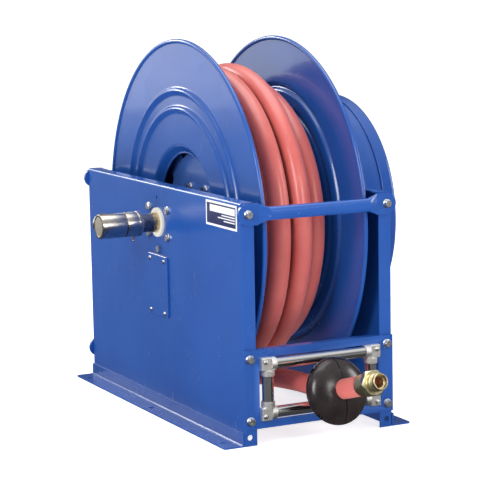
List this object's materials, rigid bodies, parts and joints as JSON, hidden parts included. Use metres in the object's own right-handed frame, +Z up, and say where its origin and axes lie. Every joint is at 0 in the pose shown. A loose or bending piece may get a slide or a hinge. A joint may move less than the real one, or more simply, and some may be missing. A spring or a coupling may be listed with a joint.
{
  "type": "spring rewind hose reel",
  "caption": "Spring rewind hose reel: pan side frames on angle feet, spool of red hose on a hollow axle, water swivel, spring canister, roller guide and rubber ball stop.",
  "frame": {"origin": "centre of the four corner floor holes, on the underside of the feet", "axes": "+X to the right seen from the front (the canister side), +Y to the rear, +Z up; the hose leaves towards -Y"},
  "size_m": [0.5433, 0.9568, 0.738],
  "materials": {
    "blue_powder_coat": "gloss powder coat, royal blue",
    "zinc_plate": "bright zinc plate",
    "polished_steel": "ground and polished",
    "cast_alloy": "fine cast, pale",
    "white_nylon": "turned nylon",
    "brass": "machined brass",
    "turned_brass": "turned, dull",
    "plain_steel": "oiled steel",
    "spring_steel": "blued spring steel",
    "nickel_plate": "satin nickel plate",
    "black_seal": "moulded",
    "label_film": "printed film, white and navy",
    "red_hose": "smooth red rubber cover",
    "black_ball": "moulded rubber, satin"
  },
  "bodies": {
    "frame": {"access_plate": "blue_powder_coat", "access_plate_screws": "zinc_plate", "ball_stop_left": "black_ball", "ball_stop_right": "black_ball", "ball_stop_screws": "zinc_plate", "bearing_bolts": "zinc_plate", "canister_back": "blue_powder_coat", "canister_bolts": "zinc_plate", "canister_cover": "blue_powder_coat", "canister_rim_screws": "zinc_plate", "frame_bolts": "zinc_plate", "front_top_bar": "blue_powder_coat", "guide_plate": "blue_powder_coat", "hose_coupling": "brass", "hose_ferrule": "brass", "hose_tail": "red_hose", "label_plate": "label_film", "left_bearing": "white_nylon", "left_bearing_plate": "blue_powder_coat", "left_foot": "blue_powder_coat", "left_side_panel": "blue_powder_coat", "nuts": "zinc_plate", "pawl_pivot_bolt": "zinc_plate", "pawl_spring": "spring_steel", "rear_bottom_bar": "blue_powder_coat", "rear_top_bar": "blue_powder_coat", "right_bearing": "white_nylon", "right_bearing_plate": "blue_powder_coat", "right_foot": "blue_powder_coat", "right_side_panel": "blue_powder_coat", "roller_block_lower_left": "cast_alloy", "roller_block_lower_right": "cast_alloy", "roller_block_screws": "zinc_plate", "roller_block_upper_left": "cast_alloy", "roller_block_upper_right": "cast_alloy", "roller_pins": "polished_steel"},
    "spool": {"axle": "turned_brass", "drum": "blue_powder_coat", "left_disc": "blue_powder_coat", "right_disc": "blue_powder_coat", "left_hub_plate": "blue_powder_coat", "right_hub_plate": "blue_powder_coat", "hub_bolts": "zinc_plate", "ratchet_wheel": "plain_steel", "riser_pipe": "plain_steel", "riser_elbow": "brass", "wound_hose": "red_hose", "spring_arbor": "plain_steel", "power_spring": "spring_steel", "swivel_stem": "nickel_plate"},
    "swivel": {"swivel_body": "nickel_plate", "swivel_packing_nut": "nickel_plate", "swivel_seal": "black_seal", "grease_fitting": "nickel_plate"},
    "pawl": {"pawl": "plain_steel"},
    "upper_roller": {"upper_roller": "polished_steel"},
    "lower_roller": {"lower_roller": "polished_steel"},
    "left_roller": {"left_roller": "polished_steel"},
    "right_roller": {"right_roller": "polished_steel"}
  },
  "joints": [
    {"name": "spool_spin", "type": "hinge", "parent": "frame", "child": "spool", "pos_m": [0, 0, 0.378], "axis": [-1, 0, 0], "range_deg": [0, 2880], "stiffness_Nm_per_rad": 0.45, "springref_deg": -687.55, "deforming": ["power_spring"]},
    {"name": "swivel_turn", "type": "hinge", "parent": "frame", "child": "swivel", "pos_m": [-0.22, 0, 0.378], "axis": [1, 0, 0], "continuous": true},
    {"name": "pawl_rock", "type": "hinge", "parent": "frame", "child": "pawl", "pos_m": [-0.136, -0.003, 0.324], "axis": [1, 0, 0], "range_deg": [-35, 35], "stiffness_Nm_per_rad": 0.05},
    {"name": "upper_roller_spin", "type": "hinge", "parent": "frame", "child": "upper_roller", "pos_m": [0, -0.368, 0.152], "axis": [1, 0, 0], "continuous": true},
    {"name": "lower_roller_spin", "type": "hinge", "parent": "frame", "child": "lower_roller", "pos_m": [0, -0.368, 0.06], "axis": [1, 0, 0], "continuous": true},
    {"name": "left_roller_spin", "type": "hinge", "parent": "frame", "child": "left_roller", "pos_m": [-0.11, -0.368, 0.106], "axis": [0, 0, 1], "continuous": true},
    {"name": "right_roller_spin", "type": "hinge", "parent": "frame", "child": "right_roller", "pos_m": [0.11, -0.368, 0.106], "axis": [0, 0, 1], "continuous": true}
  ]
}
